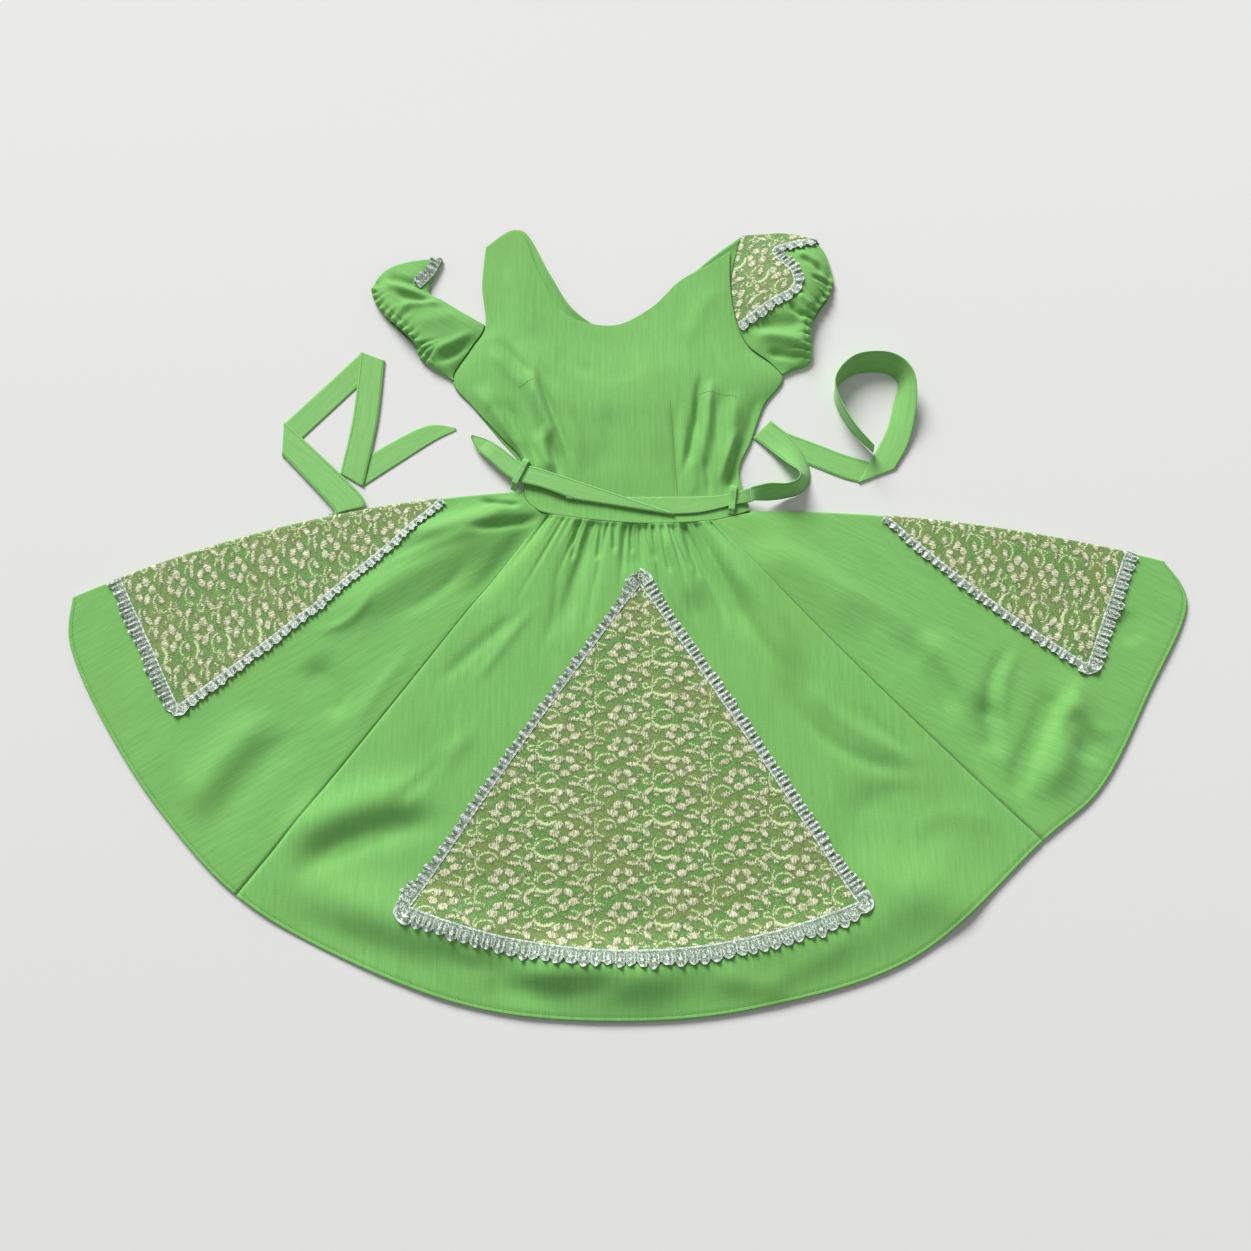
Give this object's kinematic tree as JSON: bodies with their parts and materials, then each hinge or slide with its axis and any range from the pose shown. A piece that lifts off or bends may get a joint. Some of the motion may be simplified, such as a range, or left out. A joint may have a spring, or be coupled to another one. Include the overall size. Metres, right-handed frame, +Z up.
{
  "type": "dance dress",
  "caption": "Short-sleeved square dance dress laid flat on its back, with a full gored skirt, lace triangles with scalloped edging, puffed sleeves and a loose cloth belt.",
  "frame": {"origin": "on the surface the dress lies on, under the middle of its whole outline", "axes": "+X to the right as seen from the front of the dress, +Y from the hem to the neck, +Z up from the surface"},
  "size_m": [1.3893, 1.0436, 0.0346],
  "materials": {
    "cotton": "matt slub weave",
    "belt_cotton": "matt slub weave, pressed",
    "lace": "cream and gold floral lace over a cloth ground",
    "edging": "white gathered lace edging"
  },
  "bodies": {
    "root": {"bodice_front": "cotton", "bodice_back": "cotton", "sleeve_left": "cotton", "sleeve_right": "cotton", "skirt_front": "cotton", "skirt_side_left": "cotton", "skirt_side_right": "cotton", "skirt_back": "cotton", "belt_loop_left": "cotton", "belt_loop_right": "cotton", "sash_front": "belt_cotton", "sash_turn": "belt_cotton", "tie_right": "belt_cotton", "tie_left": "belt_cotton", "lace_front": "lace", "lace_side_left": "lace", "lace_side_right": "lace", "sleeve_lace_right": "lace", "edging_front": "edging", "edging_side_left": "edging", "edging_side_right": "edging", "sleeve_edging_left": "edging", "sleeve_edging_right": "edging"}
  },
  "joints": []
}
